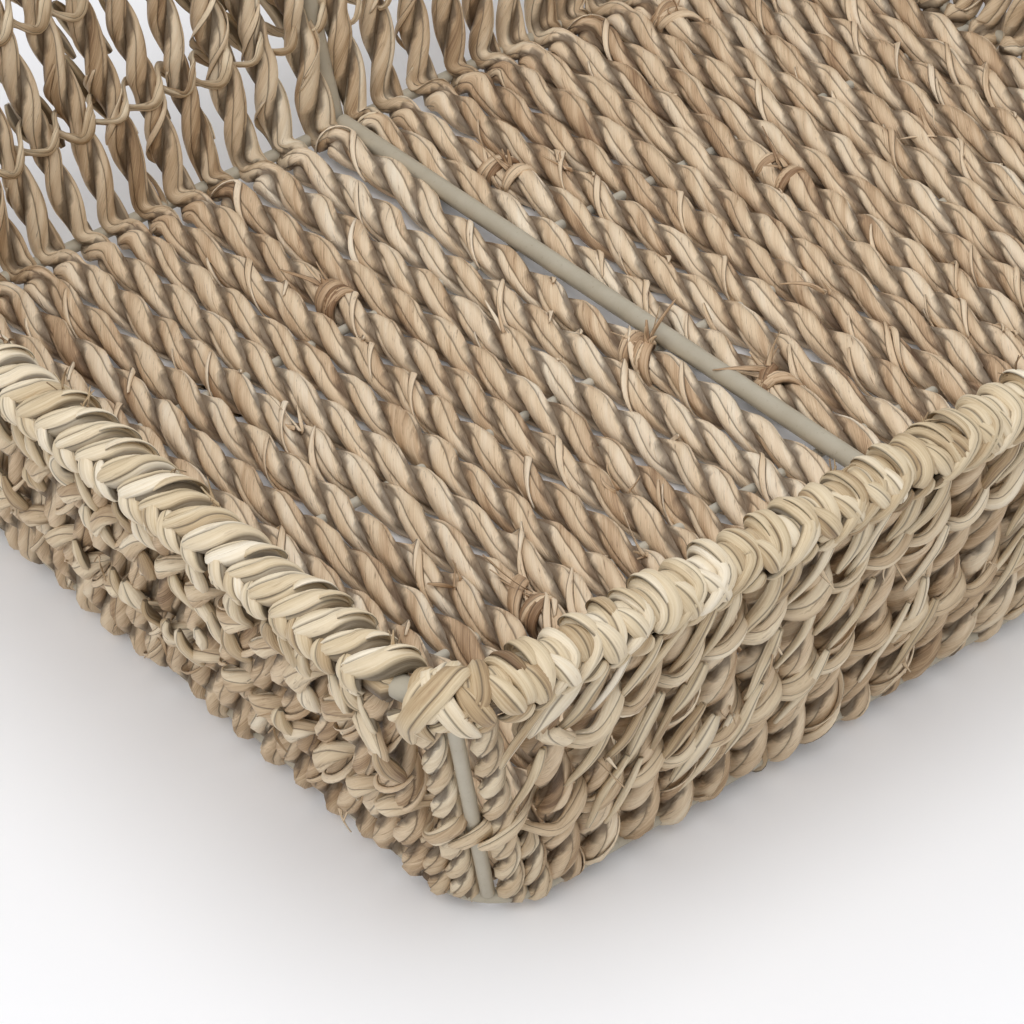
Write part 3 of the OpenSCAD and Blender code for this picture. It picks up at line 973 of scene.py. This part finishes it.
def end_stitch(store, t0, period, keep, rng, tone):
    """End rims: a wide band slants over the top, and leaves come out from under its lower edge.
    keep is how much of the slant is left near the braid's ends."""
    f = np.linspace(0, 1, STITCH_RINGS)
    last = rng.uniform(88, 106)
    degrees = STITCH_START + (last - STITCH_START) * f
    slant = keep * rng.uniform(6.0, 9.0)
    t = t0 + slant * degrees / 180 + 3.0 * keep * smooth((degrees - 15) / 75)
    swell = np.interp(degrees, (STITCH_START, -75, -42, -5, 28, 62, last),
                      (0.35, 0.38, 0.62, 1.0, 0.97, 0.62, 0.08))
    swell = np.convolve(np.pad(swell, 2, mode="edge"), np.full(5, 0.2), "valid")
    high = 3.0 * (0.3 + 0.7 * swell) * rng.uniform(0.88, 1.1)
    wide = 0.48 * period * swell * rng.uniform(0.88, 1.08)
    r = RIM_R + 0.95 + rng.uniform(-0.35, 0.35) - high - 2.6 * smooth((degrees - 62) / 42)
    roll = 0.72 + 0.2 * rng.uniform(-1, 1) - 0.35 * f
    rim_bundle(store, t, degrees, r, high, wide, int(rng.integers(4, 6)), rng, tone, roll)
    g = np.linspace(0, 1, 16)
    rim_leaf(store, rng.uniform(40, 54), rng.uniform(120, 140),
             t0 + period - keep * 4.2 * g * rng.uniform(0.7, 1.3), 1.7, rng.uniform(2.4, 3.2), 4, rng,
             tone + rng.uniform(-0.15, 0.1), full=0.5, top=0.7, roll=rng.uniform(-0.35, 0.35))
    rim_leaf(store, rng.uniform(84, 98), rng.uniform(152, 170), t0 + 0.65 * period + keep * 3.0 * g, 1.3,
             rng.uniform(1.8, 2.5), 5, rng, tone - 0.12, full=0.5, top=0.4, roll=rng.uniform(-0.4, 0.4))
    rim_tuft(store, t0, 0.16, (0.3, 0.5, 0.1), rng, 5, 4.0, 0.2)
    if rng.random() < 0.5:
        across = rng.uniform(-0.22, 0.1)
        rim_fibre(store, t + across * period, degrees, r + high + 0.8 * across,
                  slice(rng.integers(10, 14), rng.integers(22, 26)), rng.uniform(-1.6, 1.0), 1.15,
                  2.4, rng.uniform(0.8, 1.5), rng, tone + 0.14 * rng.uniform(-1, 1), 0.35)


# Turns of the side rims: hook and slant along the rim, last angle, half width as a share, roll
SIDE_TURNS = ((6.5, 1.0, 132, 0.34, -0.3), (2.0, 2.5, 106, 0.46, 0.35), (0.5, -4.0, 102, 0.4, -0.45))
SIDE_SHARES = (0.5, 0.3, 0.2)


def side_stitch(store, t0, period, keep, rng, tone):
    """Front and back rims: a narrow bundle goes over the top and hooks along the outside round a leaf."""
    f = np.linspace(0, 1, STITCH_RINGS)
    hook, slant, last, broad, roll = SIDE_TURNS[rng.choice(len(SIDE_TURNS), p=SIDE_SHARES)]
    hook, last = hook * keep * rng.uniform(0.75, 1.25), last + rng.uniform(-10, 10)
    degrees = STITCH_START + (last - STITCH_START) * f
    t = (t0 + keep * (slant + rng.uniform(-1.5, 1.5)) * degrees / 180 + hook * smooth((degrees - 45) / 85)
         - 0.15 * hook * np.exp(-((degrees - 45) / 38) ** 2))
    swell = np.interp(degrees, (STITCH_START, -80, -40, 15, 70, 100, last),
                      (0.5, 0.6, 0.85, 1.0, 0.9, 0.7, 0.12))
    high = 2.1 * (0.4 + 0.6 * swell) * rng.uniform(0.85, 1.15)
    wide = broad * period * swell * rng.uniform(0.85, 1.15)
    r = RIM_R + 0.8 + rng.uniform(-0.4, 0.45) - high - 1.5 * smooth((degrees - last + 36) / 40)
    roll = roll + 0.3 * rng.uniform(-1, 1) + rng.uniform(-0.8, 0.4) * (f - 0.6)
    rim_bundle(store, t, degrees, r, high, wide, int(rng.integers(3, 5)), rng, tone, roll)
    g = np.linspace(0, 1, 18)
    if rng.random() < 0.65:
        rim_leaf(store, rng.uniform(-15, 25), rng.uniform(92, 122),
                 t0 + 0.85 * period - keep * 4.4 * g * rng.uniform(0.7, 1.3), 1.6, rng.uniform(1.7, 2.4),
                 3, rng, tone + rng.uniform(-0.12, 0.12), full=0.55, top=0.95, roll=rng.uniform(-0.4, 0.4))
    rim_leaf(store, rng.uniform(-75, -30), rng.uniform(72, 100),
             t0 + 0.46 * period + keep * rng.uniform(-1.2, 1.2) * (g - 0.3), 1.6, rng.uniform(2.0, 3.0), 3,
             rng, tone + rng.uniform(-0.18, 0.14), full=0.56, top=rng.uniform(-0.1, 0.6),
             roll=rng.uniform(-0.45, 0.45))
    rim_leaf(store, rng.uniform(98, 108), rng.uniform(150, 166), t0 + 0.7 * period + keep * 4.5 * g, 1.2,
             rng.uniform(1.6, 2.3), 5, rng, tone - 0.12, full=0.45, top=0.3, roll=rng.uniform(-0.4, 0.4))
    rim_tuft(store, t0, 0.12, (0.4, 0.3, 0.1), rng, 4, 3.5, 0.25)
    if rng.random() < 0.5:
        across = rng.uniform(-0.15, 0.2)
        rim_fibre(store, t + across * period, degrees, r + high - 0.8 * abs(across),
                  slice(rng.integers(9, 15), rng.integers(24, 28)), rng.uniform(-1.2, 1.2), 1.1,
                  2.0, rng.uniform(0.8, 1.4), rng, tone + 0.14 * rng.uniform(-1, 1), -0.3)


# Rows of loose blades on a wall: how far below the rim's middle they start, their drops, and the share
# of places that have one
SIDE_BLADES = ((2.5, (11, 17), 0.75), (20, (12, 18), 0.55), (37, (12, 20), 0.5))
END_BLADES = ((6, (8, 11), 0.6), (19, (7, 11), 0.5), (34, (7, 10), 0.4))
BLADE_PITCH = 5.7


def wall_blades(store, t_from, t_to, top, drops, share, rng, along=(3, 8), full=0.42, plump=0.0):
    """A row of loose blades that lie aslant on the wall's outside. along is how far they go along the
    rim, full where they are widest, and plump above 0 makes them wider and thicker, like petals."""
    lean = (RIM_W - FOOT_W) / (RIM_Z - FOOT_Z)
    for t0 in np.arange(t_from, t_to, BLADE_PITCH):
        if rng.random() > share:
            continue
        t0 = t0 + rng.uniform(-2, 2)
        reach, drop = rng.uniform(*along), rng.uniform(*drops)
        f = np.linspace(0, 1, 15)
        bend = rng.uniform(-1.8, 1.8) * np.sin(math.pi * f)
        line, normal = RIM_LOOP.at(t0 + reach * f + bend)
        z = -top * rng.uniform(0.85, 1.15) - drop * f
        stand = 4.5 - 1.8 * plump + lean * z + 0.7 * np.sin(math.pi * f) - f + 0.4 * drift(rng, f, 0.4)
        line = line + UP * z[:, None] + normal * stand[:, None]
        twist = rng.uniform(-0.5, 0.5) + rng.uniform(-0.9, 0.9) * (f - 0.5)
        out, side = rolled(*axes(line, normal), twist)
        wide = (1.7 + plump) * leaf_shape(0.04 + 0.92 * f, full) * rng.uniform(0.7, 1.2)
        blades = 3 if plump else 2
        strand(whole(store), line, out, side, 0.3 + (0.3 + 0.3 * plump) * wide, 0.2 + wide, blades, rng,
               0.55 + rng.uniform(-0.2, 0.15), (0, 0), inner=1.0, shadow=-0.6)


# Leaves at the end of a side braid: places past the braid's end, outward from the rim's middle, and up
CORNER_LEAVES = (
    ((-7.5, -3.5, 2.6), (-5, 0.5, 5.6), (-2, 4.4, 3.6), (0.6, 5.4, -1.2), (1.8, 3.4, -5.6),
     (2.2, 1.6, -9.5)),
    ((-1, -3, 2.4), (-1.4, 1, 5), (-3.6, 4.8, 2.4), (-6.2, 5.3, -2.2), (-8, 3.2, -5.6)),
    ((-4.2, -3.5, 2), (-2.4, 0.8, 4.9), (-0.2, 4.2, 2.6), (0.2, 4.6, -2.6), (-1.6, 3.2, -6.5)))


def corner_leaves(store, t_end, toward, rng):
    """Crossed leaves finish a side braid at the corner post; the tip of the first hangs down beside it."""
    for shape in CORNER_LEAVES:
        along, away, up = through(np.array(shape), 6).T
        p, n = RIM_LOOP.at(t_end + toward * along)
        line = p + n * away[:, None] + UP * up[:, None]
        f = np.linspace(0, 1, len(line))
        wide = 2.3 * leaf_shape(0.1 + 0.86 * f, 0.45) * rng.uniform(0.85, 1.1)
        strand(whole(store), line, *axes(line, line - p + 2 * UP), 0.35 + 0.4 * wide, 0.2 + wide, 3, rng,
               0.52 + rng.uniform(-0.12, 0.1), (0, 0), inner=0.8, spread=0.18)


CORE_R = 3.3
SIDE_TONE, END_TONE = 0.52, 0.61
# How far past the middle of a corner the side braids reach, as a share of the corner
JOINT_SHARE = 0.34


def rim_piece(t_from, t_to, seed, period, stitch):
    """The braid between two places on the rim, over a core whose dark tone is painted shade in the gaps
    between stitches, with stitches of uneven size.
    """
    store = Store()
    rng = np.random.default_rng(seed)
    count = int(round((t_to - t_from) / period))
    core_t = np.linspace(t_from + 0.8, t_to - 0.8, int((t_to - t_from) / 1.6))
    core, _ = RIM_LOOP.at(core_t)
    up = np.broadcast_to(UP, core.shape)
    side = np.cross(unit(np.gradient(core, axis=0)), up)
    # Tone 0.12 paints the core dark: painted shade seen in the gaps between stitches
    strand(whole(store), core, up, side, CORE_R, CORE_R, 6, rng, 0.12, (1.5, 1.5), inner=1.0)
    sizes = rng.uniform(0.8, 1.22, count)
    sizes *= (t_to - t_from) / sizes.sum()
    on_side = stitch is side_stitch
    tone = SIDE_TONE if on_side else END_TONE
    for t0, size in zip(t_from + np.cumsum(sizes) - sizes / 2, sizes):
        start, end = (t0 - t_from) / (2 * period), (t_to - t0) / (2 * period)
        keep = min(0.6 + end, 1) if on_side else min(0.7 + start, 0.35 + 0.65 * end, 1)
        stitch(store, t0, size, keep, rng, tone + rng.uniform(-0.1, 0.1))
    return store


def rim_braids():
    """The side braids run past the corners, and the end braids stop short of them."""
    run_l, run_w, arc = RIM_LOOP.run_l, RIM_LOOP.run_w, RIM_LOOP.arc
    corner = run_l + arc
    left_end = corner + 2 * run_w
    back_end = left_end + 2 * arc + 2 * run_l
    right_end = back_end + 2 * run_w
    joint = JOINT_SHARE * arc
    parts = (("front", joint - corner, corner - joint, SIDE_PERIOD, side_stitch),
             ("left", corner - joint + BARE_RIM, left_end + joint - BARE_RIM, END_PERIOD, end_stitch),
             ("back", left_end + joint, back_end - joint, SIDE_PERIOD, side_stitch),
             ("right", back_end - joint + BARE_RIM, right_end + joint - BARE_RIM, END_PERIOD, end_stitch))
    for k, (name, t_from, t_to, period, stitch) in enumerate(parts):
        store = rim_piece(t_from, t_to, RIM_SEED + k, period, stitch)
        rng = np.random.default_rng(BLADE_SEED + k)
        if stitch is side_stitch:
            for row in SIDE_BLADES:
                wall_blades(store, t_from + 10, t_to - 18, *row, rng)
            corner_leaves(store, t_from, -1, rng)
            corner_leaves(store, t_to, 1, rng)
        else:
            for row in END_BLADES:
                wall_blades(store, t_from + 8, t_to - 8, *row, rng, along=(-2, 3), full=0.55, plump=0.6)
        store.piece(f"rim_braid_weave_{name}", RIM, "seagrass_rim", [f"rim_braid_{name}"])


def main():
    make_camera()
    make_light()
    make_floor()
    coat_frame()
    long_cords()
    end_cords()
    corner_cords()
    twined_rows()
    rim_braids()


main()
